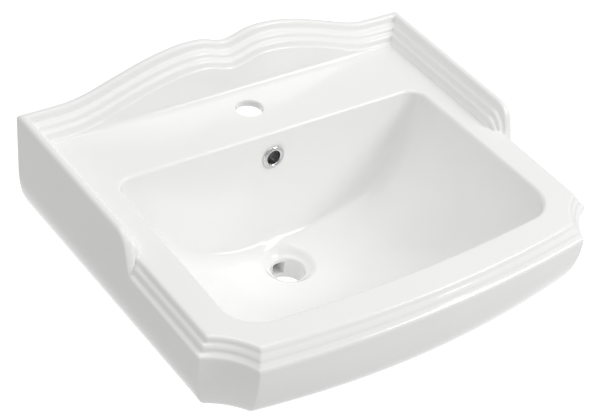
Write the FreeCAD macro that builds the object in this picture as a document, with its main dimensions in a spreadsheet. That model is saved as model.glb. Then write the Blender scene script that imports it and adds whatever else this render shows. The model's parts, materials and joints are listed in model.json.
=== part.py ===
import FreeCAD, Part
import math
import os

import Sketcher

# A wall-hung wash basin of glazed vitreous china with a push-in overflow trim.
# Frame: X to the right, Y towards the wall, Z up, in millimetres. The origin is on the wall
# face, at the middle of the basin's back, level with the deck.

SIZES = {
    # the basin in plan
    "width": 564.0,            # across the back
    "depth": 470.5,            # wall face to the middle of the bowed front
    "front_bow": 15.5,         # rise of the front's bow
    "side_taper": 9.6,         # each side's draw-in, from the back to the scalloped corner
    "scallop_across": 44.8,    # the scalloped corner along X
    "scallop_along": 47.0,     # the scalloped corner along Y
    "scallop_radius": 80.0,
    # the stepped moulding round the deck
    "step_rise": 8.25,
    "step_one": 13.0,          # the deck's edge, in from the skirt
    "step_two": 7.5,           # the tread's edge, in from the skirt
    # the skirt and its turned-under foot
    "skirt_straight": 48.0,    # deck to where the skirt starts to turn under
    "skirt_depth": 124.0,      # deck to the foot, at the wall
    "skirt_wall": 10.0,
    "back_wall": 14.0,
    "deck_thickness": 10.0,
    "foot_inset": 36.0,
    "front_tuck": 6.5,         # how much more the front corners are drawn in at the foot
    "foot_rise": 1.5,          # slope of the foot towards the front, in degrees
    # the upstand round the back and sides
    "upstand_height": 31.0,
    "upstand_end": 266.0,      # wall face to the front end of each side upstand
    "nose_run": 19.0,          # rounding of the upstand's front end, along Y
    "nose_drop": 10.0,         # and down
    "nose_lean": 12.0,         # forward lean of the end below the rounding
    "back_band": 10.8,         # top band of the backsplash
    "back_foot": 31.0,         # backsplash thickness at the deck
    "side_band": 10.0,         # top band of a side upstand
    "side_foot": 27.0,         # side upstand thickness at the deck
    "moulding_height": 28.5,   # top of the upstand to the foot of its moulding
    # the two-lobed top of the backsplash, above the deck
    "lobe_height": 72.5,
    "lobe_place": 52.0,
    "lobe_radius": 225.0,
    "lobe_inner_radius": 75.0,
    "dip_height": 62.0,
    "flank_top_place": 126.0,
    "flank_top_height": 58.8,
    "flank_foot_place": 186.0,
    "flank_foot_height": 38.2,
    "wave_end": 229.0,
    "toe_radius": 133.0,
    # the bowl
    "side_land": 61.0,         # deck beside the bowl, with the moulding
    "front_land": 52.5,        # deck in front of the bowl, with the moulding
    "bowl_back": 130.5,        # wall face to the bowl's back edge
    "bowl_bow": 13.0,
    "bowl_depth": 170.0,
    "bowl_slope": 0.085,       # forward lean of the bowl's back wall
    "bowl_wall": 9.0,
    "bowl_corner_back": 20.0,
    "bowl_corner_front": 36.0,
    "rim_round": 6.0,          # rounding of the bowl's edge
    # the waste
    "waste_place": 191.0,      # wall face to the waste's axis
    "waste_bore": 45.0,
    "waste_dish": 61.0,
    "dish_depth": 8.0,         # bowl's floor to the waste's seat
    "waste_length": 34.0,
    "waste_boss": 66.0,
    # the tap hole
    "tap_place": 73.0,
    "tap_bore": 35.0,
    # the overflow
    "overflow_drop": 36.5,     # deck to the overflow's axis at the bowl's wall
    "overflow_bore": 24.0,
    "channel_place": 20.0,     # deck to the top of the channel
    "channel_turn": 150.0,     # deck to where the channel turns towards the waste
    "channel_width": 44.0,
    "channel_depth": 14.0,
    "channel_cover": 8.0,      # china around the channel
    "channel_slot": 19.0,      # height of the outlet in the waste's bore
    "channel_drop": 7.0,       # waste's seat to the top of the outlet
    "outlet_width": 18.0,
    # the wall fixings
    "fixing_spacing": 280.0,
    "fixing_drop": 62.0,       # deck to the fixings' axes
    "fixing_bore": 14.0,
    # the opening in the back wall, for the pipes
    "opening_width": 190.0,
    "opening_place": 38.0,     # deck to the top of the opening
    "opening_round": 20.0,
    # the overflow trim
    "bezel_width": 31.0,
    "bezel_proud": 3.2,
    "bezel_edge": 1.0,
    "bezel_mouth": 18.6,
    "bezel_lip": 1.6,
    "barrel_gap": 0.5,         # between the barrel and the china, all round
    "barrel_wall": 1.0,
    "barrel_length": 9.5,
    "clip_gauge": 0.5,
    "clip_gap": 0.05,          # between the clip and the barrel, all round
    "claw_reach": 1.0,         # how far a claw stands out behind the china
    "claw_slot": 3.0,
    "claw_root": 3.5,
}

doc = FreeCAD.newDocument("basin")
sheet = doc.addObject("Spreadsheet::Sheet", "sizes")
for row, (alias, number) in enumerate(SIZES.items(), start=1):
    sheet.set(f"A{row}", alias)
    sheet.set(f"B{row}", str(number))
    sheet.setAlias(f"B{row}", alias)
doc.recompute()


class Size:
    """A number worked out from the sheet: what it is now, and the expression that gives it."""

    def __init__(self, value, text):
        self.value = value
        self.text = text

    def _with(self, other, sign, value):
        other = other if isinstance(other, Size) else Size(other, f"{other:g}")
        return Size(value(self.value, other.value), f"({self.text} {sign} {other.text})")

    def __add__(self, other):
        return self._with(other, "+", lambda a, b: a + b)

    def __sub__(self, other):
        return self._with(other, "-", lambda a, b: a - b)

    def __mul__(self, other):
        return self._with(other, "*", lambda a, b: a * b)

    def __truediv__(self, other):
        return self._with(other, "/", lambda a, b: a / b)

    def __pow__(self, other):
        return self._with(other, "^", lambda a, b: a ** b)

    def __neg__(self):
        return Size(-self.value, f"(0 - {self.text})")


def size(alias):
    return Size(sheet.get(alias), f"sizes.{alias}")


def root(number):
    return Size(math.sqrt(number.value), f"sqrt({number.text})")


def least(*numbers):
    smallest = min(n.value for n in numbers)
    return Size(smallest, f"min({'; '.join(n.text for n in numbers)})")


def new_body(label):
    body = doc.addObject("PartDesign::Body", label)
    body.Label = label
    return body


def arc_through(start, end, radius):
    """The shorter arc between two points: anticlockwise if the radius is positive."""
    chord = end - start
    half = chord.Length / 2
    rise = math.sqrt(max(radius * radius - half * half, 0.0))
    left = FreeCAD.Vector(-chord.y, chord.x, 0) / chord.Length
    centre = (start + end) / 2 + left * math.copysign(rise, radius)
    first, last = (start, end) if radius > 0 else (end, start)
    a0 = math.atan2(first.y - centre.y, first.x - centre.x)
    a1 = math.atan2(last.y - centre.y, last.x - centre.x)
    circle = Part.Circle(centre, FreeCAD.Vector(0, 0, 1), abs(radius))
    return Part.ArcOfCircle(circle, a0, a1 if a1 > a0 else a1 + 2 * math.pi)


def bind(sketch, constraint, number):
    index = sketch.addConstraint(constraint)
    sketch.setExpression(f"Constraints[{index}]", number.text)


def draw(sketch, corners):
    """Draws a closed outline. Each corner is (x, y, radius of the edge that follows it), and the
    radius is None for a straight edge, positive for one that bulges out of an anticlockwise
    outline, and negative for one that bulges in."""
    points = [FreeCAD.Vector(x.value, y.value, 0) for x, y, _ in corners]
    ends = []
    for i, (_, _, radius) in enumerate(corners):
        start, end = points[i], points[(i + 1) % len(points)]
        if radius is None:
            sketch.addGeometry(Part.LineSegment(start, end), False)
            ends.append((1, 2))
        else:
            sketch.addGeometry(arc_through(start, end, radius.value), False)
            ends.append((1, 2) if radius.value > 0 else (2, 1))
    for i, (x, y, radius) in enumerate(corners):
        before = i - 1 if i else len(corners) - 1
        sketch.addConstraint(Sketcher.Constraint("Coincident", before, ends[before][1], i, ends[i][0]))
        bind(sketch, Sketcher.Constraint("DistanceX", i, ends[i][0], x.value), x)
        bind(sketch, Sketcher.Constraint("DistanceY", i, ends[i][0], y.value), y)
        if radius is not None:
            length = radius if radius.value > 0 else -radius
            bind(sketch, Sketcher.Constraint("Radius", i, length.value), length)


def new_sketch(body, name, plane, lift, corners, tilt=None):
    """A sketch on one of the body's origin planes, raised by lift and turned by tilt about its X."""
    sketch = body.newObject("Sketcher::SketchObject", name)
    origin = [f for f in body.Origin.OriginFeatures if f.Role == plane]
    sketch.AttachmentSupport = (origin[0], [""])
    sketch.MapMode = "FlatFace"
    turn = FreeCAD.Rotation(FreeCAD.Vector(1, 0, 0), -tilt.value if tilt else 0.0)
    sketch.AttachmentOffset = FreeCAD.Placement(FreeCAD.Vector(0, 0, lift.value), turn)
    sketch.setExpression("AttachmentOffset.Base.z", lift.text)
    if corners:
        draw(sketch, corners)
    return sketch


def ring(sketch, x, y, width):
    """A circle of a given width about a point of the sketch."""
    circle = Part.Circle(FreeCAD.Vector(x.value, y.value, 0), FreeCAD.Vector(0, 0, 1), width.value / 2)
    index = sketch.addGeometry(circle, False)
    bind(sketch, Sketcher.Constraint("Diameter", index, width.value), width)
    bind(sketch, Sketcher.Constraint("DistanceX", index, 3, x.value), x)
    bind(sketch, Sketcher.Constraint("DistanceY", index, 3, y.value), y)


def turned(body, name, sketch, cut=False):
    """Revolves a sketch about its own vertical axis, to add or to cut."""
    feature = body.newObject("PartDesign::Groove" if cut else "PartDesign::Revolution", name)
    feature.Profile = sketch
    feature.ReferenceAxis = (sketch, ["V_Axis"])
    feature.Angle = 360
    return feature


def pad(body, name, sketch, length, pocket=False, backwards=False, both=False):
    kind = "PartDesign::Pocket" if pocket else "PartDesign::Pad"
    feature = body.newObject(kind, name)
    feature.Profile = sketch
    feature.setExpression("Length", length.text)
    feature.Length = length.value
    feature.Reversed = backwards
    if both:
        feature.SideType = "Symmetric"
    return feature


def loft(body, name, sketches, cut=False):
    feature = body.newObject("PartDesign::SubtractiveLoft" if cut else "PartDesign::AdditiveLoft", name)
    feature.Profile = sketches[0]
    feature.Sections = sketches[1:]
    feature.Ruled = True
    return feature


# ---------------------------------------------------------------- outlines of the basin

BOWL_POWER = 1 / 2.4   # the bowl's section is a superellipse of this exponent across its depth
FOOT_POWER = 2.2       # the skirt turns under along a slightly squared ellipse

half_width = size("width") / 2
corner_depth = size("depth") - size("front_bow")
side_x = half_width - size("side_taper")
side_y = corner_depth - size("scallop_along")
front_x = side_x - size("scallop_across")


def bow_radius(half, bow):
    return (half * half + bow * bow) / (bow * 2)


def plan(inset, tuck, bow, back):
    """The basin's outline seen from above, drawn in by inset, with its front corners drawn in by
    tuck more, its front bowed by bow, and its back edge at back in front of the wall face."""
    run_x = size("scallop_across")
    run_y = size("scallop_along") - tuck
    half_chord = root(run_x * run_x + run_y * run_y) / 2
    reach = root(size("scallop_radius") ** 2 - half_chord ** 2)
    centre_x = side_x - run_x / 2 + run_y / half_chord / 2 * reach
    centre_y = side_y + run_y / 2 + run_x / half_chord / 2 * reach
    radius = size("scallop_radius") + inset
    end_x = side_x - inset
    end_y = centre_y - root(radius ** 2 - (centre_x - end_x) ** 2)
    low_y = corner_depth - inset - tuck
    low_x = centre_x - root(radius ** 2 - (centre_y - low_y) ** 2)
    return [
        (-(half_width - inset), -back, None),
        (-end_x, -end_y, -radius),
        (-low_x, -low_y, bow_radius(low_x, bow)),
        (low_x, -low_y, -radius),
        (end_x, -end_y, None),
        (half_width - inset, -back, None),
    ]


def bowl_outline(drop, wall):
    """The bowl's outline at a drop below the deck, grown by wall. Its half width and its front
    follow a superellipse, and its back wall is flat and leans forward."""
    share = drop / size("bowl_depth")
    shrink = (Size(1.0, "1") - share ** 2) ** BOWL_POWER
    middle = size("waste_place")
    half = (half_width - size("side_land")) * shrink + wall
    back = size("bowl_back") + size("bowl_slope") * drop - wall
    front = middle + (size("depth") - size("front_land") - middle) * shrink + wall
    bow = size("bowl_bow") * shrink
    span = front - bow - back
    back_round = least(size("bowl_corner_back") * (share + 1) + wall, half * 0.6, span * 0.42)
    front_round = least(size("bowl_corner_front") * (share + 1) + wall, half * 0.6, span * 0.42)
    low = front - bow
    return [
        (-half, -(back + back_round), None),
        (-half, -(low - front_round), front_round),
        (-(half - front_round), -low, bow_radius(half - front_round, bow)),
        (half - front_round, -low, front_round),
        (half, -(low - front_round), None),
        (half, -(back + back_round), back_round),
        (half - back_round, -back, None),
        (-(half - back_round), -back, back_round),
    ]


def wave(drop, under):
    """The backsplash seen from the front: its two-lobed top lowered by drop, and its foot under
    the deck by under. The lobes and their flanks are arcs, with a straight slope between."""
    lobe_x, lobe_z = size("lobe_place"), size("lobe_height") - drop
    dip_z = size("dip_height") - drop
    turn_x, turn_z = lobe_x * 0.46, (lobe_z + dip_z) / 2
    top_x, top_z = size("flank_top_place"), size("flank_top_height") - drop
    foot_x, foot_z = size("flank_foot_place"), size("flank_foot_height") - drop
    end_x, end_z = size("wave_end"), size("upstand_height") - drop
    outer, inner = size("lobe_radius"), size("lobe_inner_radius")
    hollow = bow_radius(turn_x, turn_z - dip_z)
    toe = size("toe_radius")
    nought = -under
    return [
        (-end_x, nought, None),
        (end_x, nought, None),
        (end_x, end_z, -toe),
        (foot_x, foot_z, None),
        (top_x, top_z, outer),
        (lobe_x, lobe_z, inner),
        (turn_x, turn_z, -hollow),
        (-turn_x, turn_z, inner),
        (-lobe_x, lobe_z, outer),
        (-top_x, top_z, None),
        (-foot_x, foot_z, -toe),
        (-end_x, end_z, None),
    ]



def foot_share(level):
    """How much of its full inset the skirt has turned in by, at a share of the way down."""
    return 1 - math.sqrt(1 - level ** FOOT_POWER)


def end_place():
    """Where a side upstand's outer face ends: the same line as the skirt's side."""
    return half_width - size("side_taper") / side_y * size("upstand_end")


def upstand_outline(back, side):
    """The upstand seen from above: a U, open to the front, with its front ends cut on a slant."""
    inner = half_width - side
    outer = end_place()
    end = size("upstand_end")
    slant = end - (outer - inner) / 2
    return [
        (-half_width, NOUGHT, None),
        (-outer, -end, None),
        (-inner, -slant, None),
        (-inner, -back, None),
        (inner, -back, None),
        (inner, -slant, None),
        (outer, -end, None),
        (half_width, NOUGHT, None),
    ]


def upstand_end_outline():
    """What is cut from the upstands' front ends, seen from the side: above a rounded nose and
    a face that leans forward down to the skirt's top edge."""
    top = size("upstand_height")
    end = size("upstand_end")
    knee = end - size("nose_lean")
    start = knee - size("nose_run")
    nose = bow_radius(size("nose_run"), size("nose_drop"))
    foot = size("step_rise") * 2
    clear = Size(6.0, "6")
    return [
        (-(end + clear), -foot, None),
        (-end, -foot, None),
        (-knee, top - size("nose_drop"), -nose),
        (-start, top, None),
        (-start, top + clear, None),
        (-(end + clear), top + clear, None),
    ]


NOUGHT = Size(0.0, "0")
MOULDING = ((0.0, 0.0), (0.48, 0.456), (0.84, 0.737), (1.0, 1.0))   # share in, share down
FOOT_LEVELS = (0.0, 0.3, 0.55, 0.75, 0.9, 1.0)
BOWL_LEVELS = (0.25, 0.45, 0.63, 0.78, 0.89, 0.955, 0.985)
RIM_LEVELS = ((1.0, -0.1), (0.62, 0.08), (0.29, 0.29), (0.08, 0.62), (0.0, 1.0))  # share out, down

# ---------------------------------------------------------------- the basin

basin = new_body("basin")
bow = size("front_bow")
rise = size("step_rise")
foot_rise = size("foot_rise")

# the skirt: straight at the top, turned under at the foot, and deeper at the middle of the front
skirt_top = -(rise * 2)
skirt = [new_sketch(basin, "skirt_edge", "XY_Plane", skirt_top, plan(NOUGHT, NOUGHT, bow, NOUGHT))]
hollow = []
for number, level in enumerate(FOOT_LEVELS):
    lift = -(size("skirt_straight") + (size("skirt_depth") - size("skirt_straight")) * level)
    inset = size("foot_inset") * foot_share(level)
    tuck = size("front_tuck") * level
    sketch = new_sketch(
        basin, f"skirt_{number}", "XY_Plane", lift, plan(inset, tuck, bow + tuck, NOUGHT), foot_rise
    )
    skirt.append(sketch)
    hollow.append((lift, inset + size("skirt_wall"), tuck, bow + tuck))
loft(basin, "skirt_body", skirt)

# the upstand: four tiers of moulding that follow one another down and in
for number, (share_in, share_down) in enumerate(MOULDING):
    back = size("back_band") + (size("back_foot") - size("back_band")) * share_in
    side = size("side_band") + (size("side_foot") - size("side_band")) * share_in
    drop = size("moulding_height") * share_down
    outline = new_sketch(basin, f"tier_{number}", "XY_Plane", skirt_top, upstand_outline(back, side))
    pad(basin, f"tier_body_{number}", outline, size("upstand_height") - drop + rise * 2)
ends = new_sketch(basin, "upstand_ends", "YZ_Plane", NOUGHT, upstand_end_outline())
pad(basin, "upstand_end_cut", ends, size("width") + 20, pocket=True, both=True)

# the backsplash's two lobes, with the same tiers
for number, (share_in, share_down) in enumerate(MOULDING):
    back = size("back_band") + (size("back_foot") - size("back_band")) * share_in
    drop = size("moulding_height") * share_down
    crest = new_sketch(basin, f"crest_{number}", "XZ_Plane", NOUGHT, wave(drop, rise))
    pad(basin, f"crest_body_{number}", crest, back)

# the tread and the deck
tread = new_sketch(basin, "tread", "XY_Plane", skirt_top, plan(size("step_two"), NOUGHT, bow, NOUGHT))
pad(basin, "tread_body", tread, rise)
deck = new_sketch(basin, "deck", "XY_Plane", skirt_top, plan(size("step_one"), NOUGHT, bow, NOUGHT))
pad(basin, "deck_body", deck, rise * 2)

# the hollow underneath, open at the foot
ceiling = size("step_one") + size("skirt_wall")
thickness = size("deck_thickness")
cavity = [
    new_sketch(basin, "ceiling", "XY_Plane", -thickness,
               plan(ceiling, NOUGHT, bow, size("back_wall"))),
    new_sketch(basin, "shoulder", "XY_Plane", skirt_top - thickness * 0.6,
               plan(size("skirt_wall"), NOUGHT, bow, size("back_wall"))),
]
for number, (lift, inset, tuck, lower_bow) in enumerate(hollow):
    cavity.append(new_sketch(basin, f"hollow_{number}", "XY_Plane", lift,
                             plan(inset, tuck, lower_bow, size("back_wall")), foot_rise))
lift, inset, tuck, lower_bow = hollow[-1]
cavity.append(new_sketch(basin, "hollow_mouth", "XY_Plane", lift - 10,
                         plan(inset, tuck, lower_bow, size("back_wall")), foot_rise))
loft(basin, "underside", cavity, cut=True)

# the bowl's shell, the waste's boss and the cover of the overflow channel
wall = size("bowl_wall")
bowl_depth = size("bowl_depth")
slope = size("bowl_slope")
shell = [new_sketch(basin, "shell_top", "XY_Plane", -(thickness * 0.5), bowl_outline(NOUGHT, wall))]
for number, share in enumerate(BOWL_LEVELS):
    drop = bowl_depth * share
    lift = -(drop + wall * share ** 4)
    shell.append(new_sketch(basin, f"shell_{number}", "XY_Plane", lift, bowl_outline(drop, wall)))
loft(basin, "bowl_shell", shell)

waste_y = -size("waste_place")
seat = -(bowl_depth + size("dish_depth"))
foot = seat - size("waste_length")
boss = new_sketch(basin, "boss", "XY_Plane", foot, [])
ring(boss, NOUGHT, waste_y, size("waste_boss"))
pad(basin, "waste_boss", boss, bowl_depth * -0.96 - foot)

cover = size("channel_cover")
depth = size("channel_depth")
turn = size("channel_turn")
top = size("channel_place")
skin = size("bowl_back") - wall - 1.5       # the channel's inner face, where it meets the deck
back_face = skin - depth
bore_y = size("waste_place") - size("waste_bore") / 2
outlet = seat - size("channel_drop")
floor = outlet - size("channel_slot")
hump = new_sketch(basin, "channel_cover_outline", "YZ_Plane", NOUGHT, [
    (-(back_face - cover), -(thickness * 0.5), None),
    (-(skin + wall), -(thickness * 0.5), None),
    (-(skin + wall + slope * turn), -turn, None),
    (-(bore_y - 2), seat, None),
    (-(bore_y - 2), foot, None),
    (-(back_face - cover + slope * turn + 6), foot, None),
    (-(back_face - cover + slope * turn), -turn, None),
])
pad(basin, "channel_cover_body", hump, size("channel_width") + cover * 2, both=True)

# the bowl, with a rounded edge
rim = size("rim_round")
bowl = []
for number, (share_out, share_down) in enumerate(RIM_LEVELS):
    drop = rim * share_down
    outline = bowl_outline(drop, rim * share_out)
    bowl.append(new_sketch(basin, f"rim_{number}", "XY_Plane", -drop, outline))
for number, share in enumerate(BOWL_LEVELS):
    drop = bowl_depth * share
    bowl.append(new_sketch(basin, f"bowl_{number}", "XY_Plane", -drop, bowl_outline(drop, NOUGHT)))
loft(basin, "bowl_hollow", bowl, cut=True)

# the waste's dish and bore
dish = new_sketch(basin, "waste_profile", "YZ_Plane", NOUGHT, [
    (NOUGHT, foot - 1, None),
    (size("waste_bore") / 2, foot - 1, None),
    (size("waste_bore") / 2, seat, None),
    (size("waste_dish") / 2 - 4, seat, None),
    (size("waste_dish") / 2, seat + 6, None),
    (size("waste_dish") / 2 + 2.5, bowl_depth * -0.985 + 1, None),
    (NOUGHT, bowl_depth * -0.985 + 1, None),
])
dish.AttachmentOffset = FreeCAD.Placement(FreeCAD.Vector(waste_y.value, 0, 0), FreeCAD.Rotation())
dish.setExpression("AttachmentOffset.Base.x", waste_y.text)
turned(basin, "waste_bore_cut", dish, cut=True)

# the overflow channel, from behind the bowl's back wall down to the waste's bore
channel = new_sketch(basin, "channel", "YZ_Plane", NOUGHT, [
    (-(back_face + slope * top), -top, None),
    (-(skin + slope * top), -top, None),
    (-(skin + slope * turn), -turn, None),
    (-(skin + slope * turn + 4), seat + 6, None),
    (-(skin + slope * turn + 12), outlet, None),
    (-(bore_y - 5), outlet, None),
    (-(bore_y - 5), floor, None),
    (-(back_face + slope * turn + 6), floor, None),
    (-(back_face + slope * turn), -turn, None),
])
pad(basin, "channel_cut", channel, size("channel_width"), pocket=True, both=True)
slot = new_sketch(basin, "channel_outlet", "YZ_Plane", NOUGHT, [
    (-(bore_y + 5), floor, None),
    (-(bore_y - 8), floor, None),
    (-(bore_y - 8), outlet, None),
    (-(bore_y + 5), outlet, None),
])
pad(basin, "channel_outlet_cut", slot, size("outlet_width"), pocket=True, both=True)

# the overflow's bore, square to the bowl's back wall
overflow_y = size("bowl_back") + slope * size("overflow_drop")
lean = math.degrees(math.atan(slope.value))
bore = new_sketch(basin, "overflow", "XZ_Plane", overflow_y, [])
ring(bore, NOUGHT, NOUGHT, size("overflow_bore"))
bore.AttachmentOffset = FreeCAD.Placement(
    FreeCAD.Vector(0, -size("overflow_drop").value, overflow_y.value),
    FreeCAD.Rotation(FreeCAD.Vector(-1, 0, 0), lean),
)
bore.setExpression("AttachmentOffset.Base.y", (-size("overflow_drop")).text)
bore.setExpression("AttachmentOffset.Rotation.Angle", f"atan({slope.text})")
pad(basin, "overflow_cut", bore, (wall + 5) * 2, pocket=True, both=True)

# the tap hole and the wall fixings
tap = new_sketch(basin, "tap", "XY_Plane", NOUGHT, [])
ring(tap, NOUGHT, -size("tap_place"), size("tap_bore"))
pad(basin, "tap_hole", tap, thickness * 3, pocket=True, both=True)
fixings = new_sketch(basin, "fixings", "XZ_Plane", NOUGHT, [])
for side in (-0.5, 0.5):
    ring(fixings, size("fixing_spacing") * side, -size("fixing_drop"), size("fixing_bore"))
pad(basin, "fixing_holes", fixings, size("back_wall") * 3, pocket=True, both=True)

# the opening in the back wall, which leaves an ear round each fixing
reach = size("opening_width") / 2
lintel = size("opening_place")
round_off = size("opening_round")
below = size("skirt_depth") + 5
opening = new_sketch(basin, "service_opening", "XZ_Plane", NOUGHT, [
    (-reach, -below, None),
    (reach, -below, None),
    (reach, -(lintel + round_off), round_off),
    (reach - round_off, -lintel, None),
    (-(reach - round_off), -lintel, round_off),
    (-reach, -(lintel + round_off), None),
])
pad(basin, "service_opening_cut", opening, size("back_wall") * 3, pocket=True, both=True)


# ---------------------------------------------------------------- the overflow trim

def at_overflow(body):
    """Puts a body at the overflow, with its own Z out of the bowl's back wall."""
    angle = 90 - lean
    turn_up = FreeCAD.Rotation(FreeCAD.Vector(1, 0, 0), angle)
    body.Placement = FreeCAD.Placement(
        FreeCAD.Vector(0, -overflow_y.value, -size("overflow_drop").value), turn_up
    )
    body.setExpression("Placement.Base.y", (-overflow_y).text)
    body.setExpression("Placement.Base.z", (-size("overflow_drop")).text)
    body.setExpression("Placement.Rotation.Angle", f"90 deg - atan({slope.text})")


# the domed ring that covers the bore's edge, and its barrel
bezel = new_body("overflow_bezel")
at_overflow(bezel)
outside = size("bezel_width") / 2
mouth = size("bezel_mouth") / 2
barrel = size("overflow_bore") / 2 - size("barrel_gap")
barrel_inside = barrel - size("barrel_wall")
crown = mouth + (outside - mouth) * 0.42
profile = new_sketch(bezel, "bezel_profile", "XZ_Plane", NOUGHT, [
    (barrel, NOUGHT, None),
    (outside, NOUGHT, None),
    (outside, size("bezel_edge"), (outside - crown) * 1.25),
    (crown, size("bezel_proud"), crown - mouth + 0.6),
    (mouth, size("bezel_lip"), None),
    (mouth, NOUGHT, None),
    (barrel_inside, NOUGHT, None),
    (barrel_inside, -size("barrel_length"), None),
    (barrel, -size("barrel_length"), None),
])
turned(bezel, "bezel_body", profile)

# the stamped clip inside the barrel, whose six claws spread behind the china
clip = new_body("overflow_clip")
at_overflow(clip)
gauge = size("clip_gauge")
clip_out = barrel_inside - size("clip_gap")
china = Size(math.cos(math.atan(slope.value)), f"cos(atan({slope.text}))") * (wall + 1.5)
claw_foot = -(china + 0.4)
claw_out = size("overflow_bore") / 2 + size("claw_reach")
flare = claw_out - clip_out
leaf = new_sketch(clip, "clip_profile", "XZ_Plane", NOUGHT, [
    (clip_out - gauge, NOUGHT, None),
    (clip_out - gauge, claw_foot, None),
    (claw_out - gauge, claw_foot - flare, None),
    (claw_out, claw_foot - flare + gauge, None),
    (clip_out, claw_foot, None),
    (clip_out, NOUGHT, None),
])
turned(clip, "clip_body", leaf)
slot_half = size("claw_slot") / 2
slot = new_sketch(clip, "claw_slot", "XY_Plane", -size("claw_root"), [
    (-(claw_out + 2), -slot_half, None),
    (claw_out + 2, -slot_half, None),
    (claw_out + 2, slot_half, None),
    (-(claw_out + 2), slot_half, None),
])
slot_cut = pad(clip, "claw_slot_cut", slot, china + flare * 2, pocket=True)
slots = clip.newObject("PartDesign::PolarPattern", "claw_slots")
slots.Originals = [slot_cut]
slots.Axis = ([f for f in clip.Origin.OriginFeatures if f.Role == "Z_Axis"][0], [""])
slots.Angle = 360
slots.Occurrences = 3
clip.Tip = slots

# ---------------------------------------------------------------- check and write

doc.recompute()
os.makedirs("parts", exist_ok=True)
for item in doc.Objects:
    if "Invalid" in item.State or "Error" in item.State:
        raise RuntimeError(f"{item.Label} did not build: {item.State}")
for body in (basin, bezel, clip):
    shape = body.Shape
    if shape.isNull() or not shape.isValid() or len(shape.Solids) != 1:
        raise RuntimeError(f"{body.Label} is not one valid solid")
    print(body.Label, shape.BoundBox, round(shape.Volume / 1e3, 2), "cm3")
    shape.exportStep(f"parts/{body.Label}.step")
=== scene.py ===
"""A wall-hung wash basin in glazed vitreous china, its overflow trim and a pale studio round it."""

from __future__ import annotations

import json
import logging
import math
from dataclasses import dataclass, field
from enum import Enum

import bmesh
import bpy
import numpy as np
from mathutils import Matrix, Vector
from mathutils.geometry import delaunay_2d_cdt

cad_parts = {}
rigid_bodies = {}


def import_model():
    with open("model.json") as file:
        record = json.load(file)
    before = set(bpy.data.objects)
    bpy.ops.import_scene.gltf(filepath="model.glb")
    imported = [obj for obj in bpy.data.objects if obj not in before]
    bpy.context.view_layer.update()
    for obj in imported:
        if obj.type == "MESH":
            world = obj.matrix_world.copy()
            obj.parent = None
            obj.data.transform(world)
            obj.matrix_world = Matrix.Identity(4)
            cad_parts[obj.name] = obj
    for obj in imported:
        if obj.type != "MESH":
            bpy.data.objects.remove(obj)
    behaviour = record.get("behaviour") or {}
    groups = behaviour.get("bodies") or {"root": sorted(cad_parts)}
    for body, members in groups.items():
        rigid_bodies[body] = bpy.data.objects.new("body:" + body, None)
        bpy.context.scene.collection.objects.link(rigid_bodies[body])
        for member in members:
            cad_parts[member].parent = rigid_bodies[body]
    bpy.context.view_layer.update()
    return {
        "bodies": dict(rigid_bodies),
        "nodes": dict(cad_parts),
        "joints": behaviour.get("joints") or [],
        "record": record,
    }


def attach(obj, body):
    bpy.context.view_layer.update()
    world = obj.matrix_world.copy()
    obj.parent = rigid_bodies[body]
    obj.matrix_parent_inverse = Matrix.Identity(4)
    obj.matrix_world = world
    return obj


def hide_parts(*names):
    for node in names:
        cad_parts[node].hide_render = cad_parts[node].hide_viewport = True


LOG = logging.getLogger("basin")
MM = 0.001
HALVINGS = 40
Array = np.ndarray
Pairs = tuple[tuple[float, float], ...]


class Seam(Enum):
    """How the two ends of a grid's columns meet."""

    OPEN = 0
    CLOSED = 1


class Plane(Enum):
    """Which two axes a flat area spreads along."""

    LEVEL = (0, 1)
    UPRIGHT = (0, 2)


# ---------------------------------------------------------------- curves and surfaces


def through(knots: Pairs, at: Array) -> Array:
    """A smooth curve through knots that never overshoots them. Between two knots it is the cubic whose
    slope at each is the harmonic mean of the slopes to either side, or level where those disagree.

    Args:
        knots: pairs of a station and a value, stations rising.
        at: where to read the curve.

    Returns:
        One value for each place in at.
    """
    s, v = np.asarray(knots, float).T
    run = np.diff(s)
    rise = np.diff(v) / run
    a, b = rise[:-1], rise[1:]
    same = a * b > 0
    mean = np.where(same, 2 * a * b / np.where(same, a + b, 1.0), 0.0)
    slope = np.r_[rise[0], mean, rise[-1]]
    i = np.clip(np.searchsorted(s, at, side="right") - 1, 0, len(run) - 1)
    w = np.clip((at - s[i]) / run[i], 0.0, 1.0)
    return (
        (2 * w**3 - 3 * w**2 + 1) * v[i]
        + (w**3 - 2 * w**2 + w) * run[i] * slope[i]
        + (3 * w**2 - 2 * w**3) * v[i + 1]
        + (w**3 - w**2) * run[i] * slope[i + 1]
    )


def soft_max(a: Array, b: Array, reach: float) -> Array:
    """The larger of a and b, rounded off with a parabola where they are within reach of each other."""
    near = np.maximum(reach - np.abs(a - b), 0.0) / reach
    return np.maximum(a, b) + near**2 * reach / 4


def soft_min(a: Array, b: Array, reach: float) -> Array:
    """The smaller of a and b, rounded off in the same way."""
    return -soft_max(-a, -b, reach)


def circle(radius: float, count: int) -> Array:
    """Points evenly spaced round a circle about the origin, as rows of two."""
    a = np.linspace(0.0, 2 * math.pi, count, endpoint=False)
    return np.stack([np.cos(a), np.sin(a)], axis=-1) * radius


def stack(*parts: Array | float) -> Array:
    """Makes points from arrays or numbers for X, Y and Z that fit one another."""
    return np.stack(np.broadcast_arrays(*parts), axis=-1).astype(float)


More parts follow.
